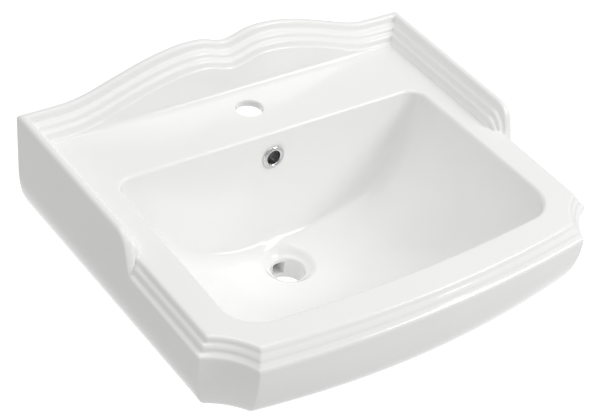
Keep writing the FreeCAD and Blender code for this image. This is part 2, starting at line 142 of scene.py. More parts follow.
class Skin:
    """Gathers grids of points into one closed mesh, in millimetres."""

    def __init__(self) -> None:
        """Starts with nothing in it."""
        self.points: list[Array] = []
        self.faces: list[Array] = []
        self.count = 0

    def add(self, points: Array) -> Array:
        """Adds points.

        Args:
            points: a grid of any shape, by three.

        Returns:
            Their numbers, in the grid's shape.
        """
        flat = np.asarray(points, float).reshape(-1, 3)
        numbers = np.arange(self.count, self.count + len(flat)).reshape(points.shape[:-1])
        self.points.append(flat)
        self.count += len(flat)
        return numbers

    def grid(self, points: Array, seam: Seam = Seam.OPEN, keep: Array | None = None) -> Array:
        """Adds a grid of points with a four-sided face in every cell.

        Args:
            points: rows by columns by three.
            seam: whether the last column joins the first.
            keep: true for each cell that gets a face, or None for all.

        Returns:
            The numbers of the points, rows by columns.
        """
        n = self.add(points)
        m = np.c_[n, n[:, :1]] if seam is Seam.CLOSED else n
        cells = np.stack([m[:-1, :-1], m[:-1, 1:], m[1:, 1:], m[1:, :-1]], axis=-1)
        self.faces.append(cells.reshape(-1, 4) if keep is None else cells[keep])
        return n

    def fill(self, loops: list[Array], plane: Plane) -> None:
        """Fills the flat area inside the first loop and outside the others with triangles. A triangle
        stays if a line from its middle along the first direction crosses the loops an odd number of
        times.

        Args:
            loops: closed loops of point numbers that lie in one plane.
            plane: which way that plane faces.
        """
        ids = np.concatenate(loops)
        flat = np.concatenate(self.points)[ids][:, list(plane.value)]
        starts = np.cumsum([0] + [len(loop) for loop in loops])
        edges = np.concatenate([
            np.stack([np.arange(a, b), a + (np.arange(b - a) + 1) % (b - a)], axis=-1)
            for a, b in zip(starts[:-1], starts[1:])
        ])
        done = delaunay_2d_cdt([Vector(p) for p in flat.tolist()], edges.tolist(), [], 2, 1e-6)
        origin = np.array([numbers[0] for numbers in done[3]])
        triangles = origin[np.array([list(f) for f in done[2]])]
        u, v = flat[triangles].mean(axis=1).T[..., None]
        (u0, v0), (u1, v1) = flat[edges[:, 0]].T, flat[edges[:, 1]].T
        spans = (v0 > v) != (v1 > v)
        rise = np.where(v1 == v0, 1.0, v1 - v0)
        past = spans & (u < u0 + (v - v0) / rise * (u1 - u0))
        self.faces.append(ids[triangles[past.sum(axis=1) % 2 == 1]])

    def ring_of(self, numbers: Array, rows: slice, columns: slice) -> Array:
        """The loop of point numbers round a block of a grid's cells."""
        block = numbers[rows.start : rows.stop + 1, columns.start : columns.stop + 1]
        return np.concatenate([block[0, :-1], block[:-1, -1], block[-1, :0:-1], block[:0:-1, 0]])

    def push(self, loop: Array, end_y: float, steps: int, shrink: float) -> None:
        """Carries a loop straight along Y and closes it at the end with a flat cap.

        Args:
            loop: the point numbers of the loop.
            end_y: the Y place where it ends.
            steps: how many rings it takes to get there, with the first.
            shrink: how far the loop draws in about its middle by the end.
        """
        start = np.concatenate(self.points)[loop]
        middle = (start.max(axis=0) + start.min(axis=0)) / 2
        reach = np.maximum(np.abs(start - middle).max(axis=0), 1e-6)
        w = np.linspace(0, 1, steps)[:, None]
        rows = stack(
            start[:, 0] - (start[:, 0] - middle[0]) / reach[0] * shrink * w,
            start[:, 1] + (end_y - start[:, 1]) * w,
            start[:, 2] - (start[:, 2] - middle[2]) / reach[2] * shrink * w,
        )
        n = self.grid(rows, Seam.CLOSED)
        self.fill([n[-1]], Plane.UPRIGHT)

    def build(self, name: str, weld: float = 0.004, sharp: float = 48.0) -> bpy.types.Object:
        """Makes the mesh: joins points closer than weld and turns every face outwards.

        Args:
            name: the object's name.
            weld: how close points are joined, in millimetres.
            sharp: the angle in degrees past which an edge is left hard.

        Returns:
            The new object.
        """
        mesh = bpy.data.meshes.new(name)
        points = np.concatenate(self.points) * MM
        corners = np.concatenate([f.ravel() for f in self.faces])
        sizes = np.concatenate([np.full(len(f), f.shape[1]) for f in self.faces])
        mesh.vertices.add(len(points))
        mesh.vertices.foreach_set("co", points.ravel())
        mesh.loops.add(len(corners))
        mesh.loops.foreach_set("vertex_index", corners.astype(np.int32))
        mesh.polygons.add(len(sizes))
        mesh.polygons.foreach_set("loop_start", np.r_[0, np.cumsum(sizes)[:-1]].astype(np.int32))
        mesh.update(calc_edges=True)
        form = bmesh.new()
        form.from_mesh(mesh)
        bmesh.ops.remove_doubles(form, verts=form.verts, dist=weld * MM)
        loose = [v for v in form.verts if not v.link_faces]
        bmesh.ops.delete(form, geom=loose, context="VERTS")
        bmesh.ops.recalc_face_normals(form, faces=form.faces)
        rims = sum(1 for e in form.edges if len(e.link_faces) != 2)
        form.to_mesh(mesh)
        form.free()
        mesh.validate()
        mesh.polygons.foreach_set("use_smooth", np.ones(len(mesh.polygons), bool))
        mesh.set_sharp_from_angle(angle=math.radians(sharp))
        thing = bpy.data.objects.new(name, mesh)
        bpy.context.scene.collection.objects.link(thing)
        triangles = sum(len(p.vertices) - 2 for p in mesh.polygons)
        LOG.info("%s: %d triangles, %d open or doubled edges", name, triangles, rims)
        return thing


# ---------------------------------------------------------------- finishes


def linear(colour: str) -> tuple[float, float, float, float]:
    """Turns an sRGB hex colour such as "f4f4f2" into linear red, green, blue and alpha."""
    parts = [int(colour[i : i + 2], 16) / 255 for i in (0, 2, 4)]
    r, g, b = (c / 12.92 if c <= 0.04045 else ((c + 0.055) / 1.055) ** 2.4 for c in parts)
    return r, g, b, 1.0


def add_node(tree: bpy.types.NodeTree, kind: str, settings: dict, **links: object) -> bpy.types.Node:
    """Adds a node to a material or a world.

    Args:
        tree: the node tree.
        kind: the node's type name.
        settings: attributes by name, or input values by the input's name or number.
        links: input name, with _ for a space, to the output socket that feeds it.

    Returns:
        The node.
    """
    made = tree.nodes.new(kind)
    for name, value in settings.items():
        if isinstance(name, str) and hasattr(made, name):
            setattr(made, name, value)
        else:
            made.inputs[name].default_value = value
    for name, source in links.items():
        tree.links.new(source, made.inputs[name.replace("_", " ")])
    return made


@dataclass(frozen=True)
class Finish:
    """What every finish shares: a name, a colour and the shader's plain numbers."""

    name: str
    colour: str
    roughness: float
    metallic: float = 0.0
    ior: float = 1.5

    def start(self) -> tuple[bpy.types.Material, bpy.types.NodeTree, bpy.types.Node]:
        """Makes the material with its shader and gives them back with the tree."""
        material = bpy.data.materials.new(self.name)
        material.use_nodes = True
        tree = material.node_tree
        tree.nodes.clear()
        shader = add_node(
            tree,
            "ShaderNodeBsdfPrincipled",
            {
                "Base Color": linear(self.colour),
                "Roughness": self.roughness,
                "Metallic": self.metallic,
                "IOR": self.ior,
            },
        )
        add_node(tree, "ShaderNodeOutputMaterial", {}, Surface=shader.outputs[0])
        return material, tree, shader

    def noise(self, tree: bpy.types.NodeTree, size_mm: float, detail: float = 1.0) -> object:
        """Adds smooth noise on the piece's own coordinates.

        Args:
            tree: the material's node tree.
            size_mm: about how large its patches are.
            detail: how many finer layers are added.

        Returns:
            The socket with its value.
        """
        place = add_node(tree, "ShaderNodeTexCoord", {}).outputs["Object"]
        made = add_node(
            tree, "ShaderNodeTexNoise", {"Scale": 1 / (size_mm * MM), "Detail": detail}, Vector=place
        )
        return made.outputs[0]

    def vary_gloss(
        self, tree: bpy.types.NodeTree, shader: bpy.types.Node, by: object, low: float, high: float
    ) -> None:
        """Feeds the shader's roughness from a pattern.

        Args:
            tree: the material's node tree.
            shader: the shader.
            by: the pattern's socket.
            low: the share of the plain roughness where the pattern is 0.
            high: the share where it is 1.
        """
        gloss = add_node(
            tree,
            "ShaderNodeMapRange",
            {"To Min": self.roughness * low, "To Max": self.roughness * high},
            Value=by,
        )
        tree.links.new(gloss.outputs[0], shader.inputs["Roughness"])


@dataclass(frozen=True)
class VitreousGlaze(Finish):
    """Vitreous china under a clear, fired gloss glaze: white, mirror-smooth close up, with the slow
    waviness that a sprayed glaze keeps, so that reflections of straight lights wander a little."""

    name: str = "glazed_vitreous_china"
    colour: str = "fdfdfc"
    shade: str = "fafaf9"
    roughness: float = 0.08
    ior: float = 1.52
    wave_mm: float = 30.0
    peel_mm: float = 5.0
    wave_height: float = 0.05 * MM
    peel_share: float = 0.03
    cloud_mm: float = 90.0

    def make(self) -> bpy.types.Material:
        """Builds the glaze. The body's colour drifts very slightly over cloud_mm, as the glaze's
        thickness does; two bumps give the glaze's waves and its fine orange peel."""
        material, tree, shader = self.start()
        cloud = self.noise(tree, self.cloud_mm, 2.0)
        mix = add_node(
            tree,
            "ShaderNodeMix",
            {"data_type": "RGBA", 6: linear(self.colour), 7: linear(self.shade)},
        )
        tree.links.new(cloud, mix.inputs[0])
        tree.links.new(mix.outputs[2], shader.inputs["Base Color"])
        self.vary_gloss(tree, shader, cloud, 0.75, 1.25)
        low = add_node(
            tree,
            "ShaderNodeBump",
            {"Distance": self.wave_height},
            Height=self.noise(tree, self.wave_mm),
        )
        fine = add_node(
            tree,
            "ShaderNodeBump",
            {"Distance": self.wave_height * self.peel_share},
            Height=self.noise(tree, self.peel_mm),
            Normal=low.outputs[0],
        )
        tree.links.new(fine.outputs[0], shader.inputs["Normal"])
        return material


@dataclass(frozen=True)
class ChromePlate(Finish):
    """Bright chrome over a turned brass ring: a cold mirror with the faintest turning lines."""

    name: str = "polished_chrome_plate"
    colour: str = "dcdddd"
    roughness: float = 0.06
    metallic: float = 1.0
    line_mm: float = 0.6

    def make(self) -> bpy.types.Material:
        """Builds the chrome. Fine noise, drawn a little coarser than the real turning lines so that it
        shows, varies the roughness."""
        material, tree, shader = self.start()
        self.vary_gloss(tree, shader, self.noise(tree, self.line_mm, 3.0), 0.6, 1.6)
        return material


@dataclass(frozen=True)
class SpringStrip(ChromePlate):
    """Bright stamped spring-steel strip: duller than the plating, with rolling marks."""

    name: str = "stamped_spring_steel"
    colour: str = "a9acae"
    roughness: float = 0.22
    line_mm: float = 1.2


# ---------------------------------------------------------------- the bowl's shape


@dataclass
class Hollow:
    """A bowl-shaped surface, given by its level sections. A section a share s of the way down is a
    rectangle with rounded corners, its half width and its reach in front of the waste both shrunk by
    the (1 / power) power of 1 - s squared. Its back follows a leaning flat, turns in along a short
    curve and then slopes gently down towards the waste.

    Sizes are in millimetres, and front and back are distances from the wall."""

    half: float = 221.0
    front: float = 418.0
    back: float = 130.5
    depth: float = 170.0
    centre: float = 191.0
    bow: float = 13.0
    lean: float = 0.085
    power: float = 2.4
    corner_back: float = 20.0
    corner_front: float = 36.0
    turn_in: Pairs = (
        (0.0, 36.0), (0.6, 28.0), (2.0, 21.0), (4.6, 13.0), (7.4, 7.4), (9.6, 4.4), (12.5, 2.2),
        (16.5, 0.8), (22.0, 0.1), (28.0, 0.0), (400.0, 0.0),
    )

    def back_line(self, share: Array) -> Array:
        """The Y place of the back of each section: the leaning flat, less how far turn_in moves it
        forward at each height above the deepest point."""
        z = -self.depth * share
        return -self.back + self.lean * z - through(self.turn_in, z + self.depth)

    def outside(self, share: Array, x: Array, y: Array) -> Array:
        """How far points are outside a section, negative inside. It is the distance to a rectangle with
        rounded corners whose front line bows out in the middle.

        Args:
            share: the section's share of the depth, at each point.
            x: the points' X.
            y: the points' Y.

        Returns:
            The distances.
        """
        k = np.maximum(1 - share**2, 0.0) ** (1 / self.power)
        wide = self.half * k
        across = np.abs(x)
        bend = self.bow * k * np.minimum(across / np.maximum(wide, 1e-6), 1.1) ** 2
        low = -(self.centre + (self.front - self.centre) * k) + bend
        high = self.back_line(share)
        limit = np.minimum(wide * 0.97, (high - low) * 0.48)
        worst = None
        for radius, past in ((self.corner_front, low - y), (self.corner_back, y - high)):
            r = np.maximum(np.minimum(radius * (1 + share), limit), 0.01)
            qx, qy = across - wide + r, past + r
            gap = (
                np.hypot(np.maximum(qx, 0), np.maximum(qy, 0)) + np.minimum(np.maximum(qx, qy), 0) - r
            )
            worst = gap if worst is None else np.maximum(worst, gap)
        return worst

    def level(self, x: Array, y: Array) -> Array:
        """The height of the surface: that of the deepest section that still holds each point, found by
        halving the interval.

        Args:
            x: the points' X.
            y: the points' Y.

        Returns:
            Their Z.
        """
        low, high = np.zeros_like(x), np.ones_like(x)
        for _ in range(HALVINGS):
            mid = (low + high) / 2
            inside = self.outside(mid, x, y) <= 0
            low, high = np.where(inside, mid, low), np.where(inside, high, mid)
        return -self.depth * low

    def reach(self, drop: float, angle: Array) -> Array:
        """How far a section reaches from the waste's axis, found by halving the interval.

        Args:
            drop: how far the section is below the top.
            angle: the directions in plan.

        Returns:
            The distance along each.
        """
        low, high = np.full_like(angle, 10.0), np.full_like(angle, 420.0)
        share = np.full_like(angle, drop / self.depth)
        for _ in range(HALVINGS):
            mid = (low + high) / 2
            inside = self.outside(share, mid * np.cos(angle), mid * np.sin(angle) - self.centre) <= 0
            low, high = np.where(inside, mid, low), np.where(inside, high, mid)
        return low

    def spaced(self, drop: float, count: int, turn_mm: float) -> Array:
        """Angles about the waste's axis, from straight ahead and back round to it, spaced evenly by the
        length of a section's outline plus a little for each turn that it makes.

        Args:
            drop: how far the section is below the top.
            count: how many angles.
            turn_mm: the length that a turn through one radian counts for.

        Returns:
            The angles.
        """
        a = np.linspace(-math.pi / 2, 1.5 * math.pi, 6001)
        r = self.reach(drop, a)
        p = np.stack([r * np.cos(a), r * np.sin(a)], axis=-1)
        step = np.diff(p, axis=0)
        way = np.unwrap(np.arctan2(step[:, 1], step[:, 0]))
        turn = np.r_[np.abs(np.diff(way)), 0.0]
        far = np.r_[0.0, np.cumsum(np.linalg.norm(step, axis=1) + turn_mm * np.minimum(turn, 0.1))]
        return np.interp(np.linspace(0, far[-1], count, endpoint=False), far, a)

    def wall_axes(self, drop: float) -> tuple[Array, Array, Array]:
        """A place on the middle of the back wall, with the wall's own directions there.

        Args:
            drop: how far the place is below the top.

        Returns:
            The place, the direction out of the wall into the bowl, and the one up along the wall.
        """
        length = math.hypot(1, self.lean)
        out = np.array([0.0, -1.0, self.lean]) / length
        up = np.array([0.0, self.lean, 1.0]) / length
        return np.array([0.0, -self.back - self.lean * drop, -drop]), out, up

    def turned(self, drop: float, section: Array, count: int) -> Array:
        """Turns a section about an axis square to the back wall.

        Args:
            drop: how far the axis is below the top, where it meets the wall.
            section: pairs of a radius and a distance out of the wall.
            count: how many places each ring has.

        Returns:
            Rings by places by three.
        """
        middle, out, up = self.wall_axes(drop)
        c = circle(1.0, count)
        spokes = c[None, :, :1] * np.array([1.0, 0, 0]) + c[None, :, 1:] * up
        return middle + section[:, 1, None, None] * out + section[:, 0, None, None] * spokes


# ---------------------------------------------------------------- the basin


@dataclass
class Basin:
    """The china basin, in millimetres. X runs to the right, Y into the wall and Z up from the deck."""

    half: float = 282.0
    depth: float = 470.4
    bow: float = 15.5
    taper: float = 9.6
    scallop: tuple[float, float, float] = (44.8, 47.0, 80.0)  # along X, along Y, radius
    soften: float = 2.2
    upstand: float = 31.0
    # the backsplash's top by distance from the middle, then the drop of its moulding, the height of
    # the treads and the plain slope by distance in from the edge
    crest: Pairs = (
        (-12.0, 64.3), (0.0, 62.2), (12.0, 64.3), (25.0, 68.6), (36.0, 71.4), (48.0, 72.4),
        (60.0, 72.3), (77.0, 70.6), (93.0, 67.6), (110.0, 63.6), (126.0, 58.9), (143.0, 53.3),
        (159.0, 47.9), (175.0, 42.3), (191.0, 37.1), (207.0, 33.2), (222.0, 31.4), (240.0, 31.0),
        (290.0, 31.0),
    )
    moulding: Pairs = (
        (0.0, 5.5), (0.42, 3.4), (1.61, 1.61), (3.4, 0.42), (5.5, 0.0), (7.3, 0.1), (9.0, 0.9),
        (10.1, 2.8), (10.5, 5.3), (11.0, 8.0), (12.0, 9.9), (13.6, 10.8), (15.2, 11.3), (16.7, 12.3),
        (17.6, 14.2), (18.0, 16.2), (19.0, 18.0), (20.3, 18.7), (21.5, 19.1), (22.8, 20.1),
        (23.6, 22.0), (24.0, 24.2), (24.9, 26.7), (26.0, 28.0), (27.0, 28.5),
    )
    tread: Pairs = (
        (0.0, -20.0), (0.3, -18.5), (1.1, -17.2), (2.6, -16.4), (4.4, -16.0), (5.8, -15.2),
        (6.6, -13.4), (7.1, -11.2), (8.1, -9.2), (9.6, -8.1), (10.9, -7.7), (12.0, -6.7), (12.6, -5.0),
        (13.2, -2.8), (14.4, -1.1), (16.4, -0.2), (19.0, 0.0), (27.0, 0.0),
    )
    plain: Pairs = (
        (0.0, -20.0), (1.1, -17.4), (2.6, -16.2), (15.0, -1.0), (17.5, 0.0), (27.0, 0.0),
    )
    # inset at the back for each inset at the sides
    back_of: Pairs = (
        (0.0, 0.0), (5.5, 5.8), (10.0, 10.8), (17.5, 20.5), (23.5, 27.6), (27.0, 31.0), (40.0, 44.0),
    )
    end: tuple[float, float, float] = (233.8, 23.0, 3.04)  # where the nose starts, radius, slope
    cove: tuple[float, float, float] = (9.0, 4.0, 10.5)  # height, reach at the sides and at the back
    front_soft: float = 0.78
    skirt: tuple[float, float, float] = (48.0, 76.0, 36.0)  # straight part, curved part, turn under
    skirt_power: float = 2.2
    tuck: float = 6.5
    rise: float = math.tan(math.radians(1.5))
    wall: float = 10.0
    back_wall: float = 14.0
    thickness: float = 10.0
    under_round: float = 12.5
    foot_edge: float = 1.5
    opening: tuple[float, float, float] = (95.0, 38.0, 20.0)  # half width, drop, corner radius
    fixing: tuple[float, float, float] = (140.0, 62.0, 7.0)  # half spacing, drop, radius
    tap: tuple[float, float, float] = (73.0, 17.5, 1.8)  # from the wall, radius, rounding
    bowl: Hollow = field(default_factory=Hollow)
    rim: float = 4.8
    shell: float = 9.0
    waste: tuple[float, float, float] = (22.5, 178.0, 212.0)  # radius, drop to its seat and its foot
    boss: float = 33.0
    dish: tuple[float, float, float, float] = (24.0, 8.6, 8.5, 1.7)  # start, run, rise, power
    dish_blend: float = 7.0
    apron: float = 46.0
    outlet: float = 9.0
    overflow: tuple[float, float, float] = (36.5, 12.0, 10.3)  # drop, radius, thickness of the china
    window: tuple[float, float, float] = (-60.0, -15.0, 20.0)  # lowest, highest, half width
    chamber: tuple[float, float] = (16.5, 24.0)  # radius, depth
    top_rings: int = 74
    bowl_places: int = 236
    rear_places: int = 143
    skin: Skin = field(default_factory=Skin)

    # -------- the outline and the moulded edge

    def outline(self, side: Array, back: Array, tuck: Array) -> tuple[Array, list[int]]:
        """The plan outline, drawn in. The sides, scallops and front are parallel to the outer edge at
        the distance side, and the back at the distance back. Each corner is a short parabola.

        Args:
            side: the inset of each ring at the sides and front.
            back: the inset of each ring at the back.
            tuck: how much more each ring's front corners are drawn in.

        Returns:
            Rings by places by two, anticlockwise from the back left corner, and where each run starts.
        """
        s, b, t = (np.asarray(a, float)[:, None] for a in (side, back, tuck))
        run_x, run_y, radius = self.scallop
        side_x, low = self.half - self.taper, self.depth - self.bow
        side_y = low - run_y
        half_chord = np.hypot(run_x, run_y - t) / 2
        reach = np.sqrt(radius**2 - half_chord**2)
        cx = side_x - run_x / 2 + (run_y - t) / half_chord / 2 * reach
        cy = side_y + (run_y - t) / 2 + run_x / half_chord / 2 * reach
        big = radius + s
        end_x, low_y = side_x - s, low - s - t
        end_y = cy - np.sqrt(big**2 - (cx - end_x) ** 2)
        low_x = cx - np.sqrt(big**2 - (cy - low_y) ** 2)
        slope = self.taper / side_y
        back_x = self.half - s - slope * b
        # places along a side, closest together round the upstand's nose
        marks = np.r_[0:200:13j, 212:228:5j, 230:272:38j, 275:290:5j, 304:side_y:9j]
        y = b + (end_y - b) * marks / side_y
        x = back_x + (end_x - back_x) * (y - b) / (end_y - b)
        left = np.stack([-x, -y], axis=-1)
        a0, a1 = np.arctan2(cy - end_y, cx - end_x), np.arctan2(cy - low_y, cx - low_x)
        a = a0 + (a1 - a0) * np.linspace(0, 1, 20)
        nook = np.stack([-(cx - big * np.cos(a)), -(cy - big * np.sin(a))], axis=-1)
        bow = self.bow + t
        long = (low_x**2 + bow**2) / (2 * bow)
        f = np.arcsin(low_x / long) * np.linspace(-1, 1, 50)
        front = np.stack([long * np.sin(f), -(low_y + bow - long + long * np.cos(f))], axis=-1)
        flip = np.array([-1.0, 1.0])
        rear = np.stack(np.broadcast_arrays(back_x * np.linspace(1, -1, self.rear_places), -b), axis=-1)
        runs = [left, nook, front, nook[:, ::-1] * flip, left[:, ::-1] * flip, rear]
        return self.rounded(runs)

    def rounded(self, runs: list[Array]) -> tuple[Array, list[int]]:
        """Joins runs of points end to end, with each corner between them cut back and replaced by the
        parabola that starts along one run and ends along the next.

        Args:
            runs: rings by places by two for each run.

        Returns:
            The whole outline in the same form, and the number of the place where each run starts.
        """
        out, starts, count = [], [], 0
        w = np.linspace(0, 1, 6)[1:-1, None]
        for i, run in enumerate(runs):
            following = runs[(i + 1) % len(runs)]
            first = self.cut_back(run[:, :1], run[:, 1:2])
            last = self.cut_back(run[:, -1:], run[:, -2:-1])
            ahead = self.cut_back(following[:, :1], following[:, 1:2])
            bent = np.concatenate([first, run[:, 1:-1], last], axis=1)
            arc = (1 - w) ** 2 * last + 2 * w * (1 - w) * run[:, -1:] + w**2 * ahead
            starts.append(count)
            out += [bent, arc]
            count += bent.shape[1] + arc.shape[1]
        return np.concatenate(out, axis=1), starts

    def cut_back(self, corner: Array, beside: Array) -> Array:
        """The points that lie soften away from a corner, on the way to the points beside it."""
        way = beside - corner
        return corner + way / np.linalg.norm(way, axis=2, keepdims=True) * self.soften

    def crest_at(self, x: Array) -> Array:
        """The height of the wavy backsplash's flat top, the same to the left and the right."""
        return through(self.crest, np.abs(x))

    def end_face(self, from_wall: Array) -> Array:
        """The height of an upstand along its length: level, then an arc, then a straight slope.

        Args:
            from_wall: distances from the wall.

        Returns:
            The height at each.
        """
        top, radius, slope = self.end
        turn = math.atan(slope)
        past = np.clip(from_wall - top, 0.0, radius * math.sin(turn))
        arc = self.upstand - radius + np.sqrt(radius**2 - past**2)
        straight = np.maximum(from_wall - top - radius * math.sin(turn), 0.0) * slope
        return arc - straight

    def insets(self, count: int) -> Array:
        """Insets across the moulded top, closer together where the moulding or the treads are steep.

        Args:
            count: how many insets.

        Returns:
            The insets, evenly spaced by how far one travels and climbs along both curves together.
        """
        d = np.linspace(0, self.moulding[-1][0], 5401)
        fall = np.diff(through(self.moulding, d))
        climb = np.diff(through(self.tread, d))
        far = np.r_[0.0, np.cumsum(np.sqrt(np.diff(d) ** 2 + fall**2 + climb**2))]
        return np.interp(np.linspace(0, far[-1], count), far, d)

    def low_rings(self) -> tuple[Array, Array, Array, Array]:
        """The rings below the moulded top, in four bands: the curve from the ceiling into the inner
        wall, the inner wall, the foot, and the skirt from the foot up.

        Returns:
            Each band's rings. The first band's rows are the insets at the sides and the back and the
            height. The others' are those two insets, the share of the skirt's fall, and the lift.
        """
        tuck_in = self.skirt[2]
        turn = np.linspace(0, math.pi / 2, 6)
        over = np.stack([
            self.wall + self.under_round * (1 - np.sin(turn)),
            self.back_wall + self.under_round * (1 - np.sin(turn)),
            -self.thickness - self.under_round * (1 - np.cos(turn)),
        ], axis=-1)
        walls = []
        for swing, wall, back in (
            ([0, 15, 30, 43, 55, 64, 70], self.wall, self.back_wall),
            (np.linspace(90, 0, 17)[1:], 0.0, 0.0),
        ):
            a = np.radians(swing)
            share = np.sin(a) ** (2 / self.skirt_power)
            walls.append(stack(tuck_in * (1 - np.cos(a)) + wall, back, share, 0.0))
        inside = tuck_in + self.wall
        foot = np.array([
            [inside, self.back_wall, 1.0, self.foot_edge],
            [inside - self.foot_edge, self.back_wall - self.foot_edge, 1.0, 0.0],
            [tuck_in, 0.0, 1.0, 0.0],
        ])
        return over, walls[0], foot, walls[1]

    def cove_rings(self) -> tuple[Array, Array, Array]:
        """The rings of the cove between the moulded top and the deck.

        Returns:
            Their insets at the sides and at the back, and how far each has turned towards level.
        """
        turn = np.radians([0, 0, 15, 30, 45, 60, 75, 90, 90])
        _, side_reach, back_reach = self.cove
        out = 1 - np.cos(turn)
        side = self.moulding[-1][0] + 0.6 + side_reach * out
        back = self.back_of[-2][1] + 1.6 + back_reach * out
        # the first ring eases in from the moulding, and the last runs out level on the deck
        side[0] -= 0.3
        back[0] -= 0.8
        side[-1] += 1.0
        back[-1] += 1.5
        return side, back, turn

    def make_shell(self) -> None:
        """Builds everything outside the bowl's rim and its shell, from the ceiling round to the deck."""
        over, inner, foot, outer = self.low_rings()
        skirt = np.concatenate([inner, foot, outer])
        # shares of the way up the skirt's straight part
        riser = np.array([0.08, 0.18, 0.31, 0.46, 0.62, 0.78, 0.9])
        d = self.insets(self.top_rings)
        cove_side, cove_back, turn = self.cove_rings()
        side = np.r_[over[:, 0], skirt[:, 0], 0 * riser, d, cove_side]
        back = np.r_[over[:, 1], skirt[:, 1], 0 * riser, through(self.back_of, d), cove_back]
        tuck = self.tuck * np.r_[0 * over[:, 0], skirt[:, 2], 0 * riser, 0 * d, 0 * turn]
        ring, starts = self.outline(side, back, tuck)
        places = ring.shape[1]
        low = slice(len(over), len(over) + len(skirt))
        straight, fall, _ = self.skirt
        skirt_z = skirt[:, 3:] - straight - fall * skirt[:, 2:3] - self.rise * ring[low, :, 1]
        at = low.stop + len(riser)
        top = self.top_height(ring[at : at + len(d)], d, starts)
        foot_of_top = np.maximum(top[-1:], 0.0)
        cove_z = np.minimum(foot_of_top, self.cove[0])
        z = np.concatenate([
            np.repeat(over[:, 2:], places, axis=1),
            skirt_z,
            skirt_z[-1:] + (top[:1] - skirt_z[-1:]) * riser[:, None],
            top,
            (foot_of_top + cove_z) / 2,
            cove_z * (1 - np.sin(turn[1:, None])),
        ])
        points = np.concatenate([ring, z[..., None]], axis=-1)
        foot_at = len(over) + len(inner)
        first, last = starts[5], starts[5] + self.rear_places - 1
        right, left = self.fit_opening(points[foot_at : foot_at + len(foot), first : last + 1, 0], foot[:, 3])
        right, left = first + right, first + left
        # the back wall's flat starts on the riser's third ring, above the fixings and the opening
        wall_row = low.stop + 2
        keep = np.ones((len(points) - 1, places), bool)
        keep[len(over) - 1 : foot_at, first:last] = False
        keep[foot_at + 2 : wall_row, first:last] = False
        keep[foot_at : foot_at + 2, right:left] = False
        n = self.skin.grid(points, Seam.CLOSED, keep)
        rows = (len(over) - 1, foot_at, wall_row)
        self.back_panel(n, points, rows, (first, right, left, last), foot[:, 3])
        self.ceiling_ring, self.deck_ring = n[0], n[-1]

    def fit_opening(self, x: Array, lift: Array) -> tuple[int, int]:
        """Shifts the foot's points along the back a little, in place, so that one column comes to each
        side of the pipe opening.

        Args:
            x: the X of the foot's points along the back, rings by places.
            lift: each ring's lift, which the opening's rounded edge is wider by.

        Returns:
            The two columns, right and left.
        """
        edge = self.opening[0]
        right = int(np.argmin(np.abs(x[-1] - edge)))
        left = int(np.argmin(np.abs(x[-1] + edge)))
        for row, more in zip(x, lift):
            half = np.abs(row)
            knots = [0.0, half[right], half.max()]
            row[:] = np.sign(row) * np.interp(half, knots, [0.0, edge + more, half.max()])
        return right, left

    def top_height(self, ring: Array, d: Array, starts: list[int]) -> Array:
        """The height of the moulded top. Along the back it is the crest less the moulding's drop. Along
        the sides it is the upstand, with its nose, less that drop and no lower than the treads. From
        the scallops to the front the treads fade part of the way to a plain slope.

        Args:
            ring: the top's part of the outline, insets by places by two.
            d: its insets.
            starts: the place where each run of the outline starts.

        Returns:
            Insets by places.
        """
        place = np.arange(ring.shape[1])
        turns = [starts[1], starts[1] + 3, starts[2], starts[3], starts[4] - 3, starts[4]]
        fade = np.interp(place, turns, [0.0, 0.5, 1.0, 1.0, 0.5, 0.0]) * self.front_soft
        rear = (place >= starts[5]) & (place < starts[5] + self.rear_places)
        drop = through(self.moulding, d)[:, None]
        step = through(self.tread, d)[:, None]
        plain = np.interp(d, *np.array(self.plain).T)[:, None]
        along_back = self.crest_at(ring[..., 0]) - drop
        sides = soft_max(self.end_face(-ring[..., 1]) - drop, step, 2.0)
        return np.where(rear, along_back, sides + (plain - step) * fade)

    def back_panel(
        self,
        n: Array,
        points: Array,
        rows: tuple[int, int, int],
        columns: tuple[int, int, int, int],
        lift: Array,
    ) -> None:
        """Closes the flat back wall: both faces, the pipe opening's edge and the fixing holes.

        Args:
            n: the numbers of the shell's points.
            points: the points.
            rows: the rings where the inner face starts, the foot starts and the outer face ends.
            columns: the places of the panel's right edge, the opening's two sides and its left edge.
            lift: how far each of the foot's three rings is lifted.
        """
        inner_top, foot_at, wall_row = rows
        first, right, left, last = columns
        half, drop, radius = self.opening
        a = np.radians(np.linspace(0, 90, 9))[:, None]
        low = points[foot_at : foot_at + 3, right, 2]
        x_arc = half - radius + (radius + lift) * np.cos(a)
        z_arc = -drop - radius + (radius + lift) * np.sin(a)
        climb = np.linspace(0, 1, 10)[:-1, None]
        x_side, z_side = half + lift + 0 * climb, low + (z_arc[:1] - low) * climb
        x_half = np.concatenate([x_side, x_arc])
        z_half = np.concatenate([z_side, z_arc])
        across = np.linspace(1, -1, 18)[1:-1, None]
        x = np.concatenate([x_half, x_half[-1:] * across, -x_half[::-1]])
        z = np.concatenate([z_half, z_half[-1:] + 0 * across, z_half[::-1]])
        jamb = self.skin.grid(stack(x, points[foot_at : foot_at + 3, right, 1], z))
        span, hole_drop, hole = self.fixing
        c, depth = circle(hole, 28), np.array([0.0, -self.back_wall])[:, None]
        holes = [
            self.skin.grid(stack(c[:, 0] + middle, depth, c[:, 1] - hole_drop), Seam.CLOSED)
            for middle in (span, -span)
        ]
        for face, (high_row, low_row, edge_of) in enumerate(
            ((wall_row, foot_at + 2, jamb[:, 2]), (inner_top, foot_at, jamb[:, 0]))
        ):
            down = range(high_row, low_row, -1 if high_row > low_row else 1)
            rim = np.r_[
                n[high_row, first:last],
                n[list(down), last],
                n[low_row, last:left:-1],
                edge_of[::-1],
                n[low_row, right - 1 : first - 1 : -1],
                n[list(down), first][:0:-1],
            ]
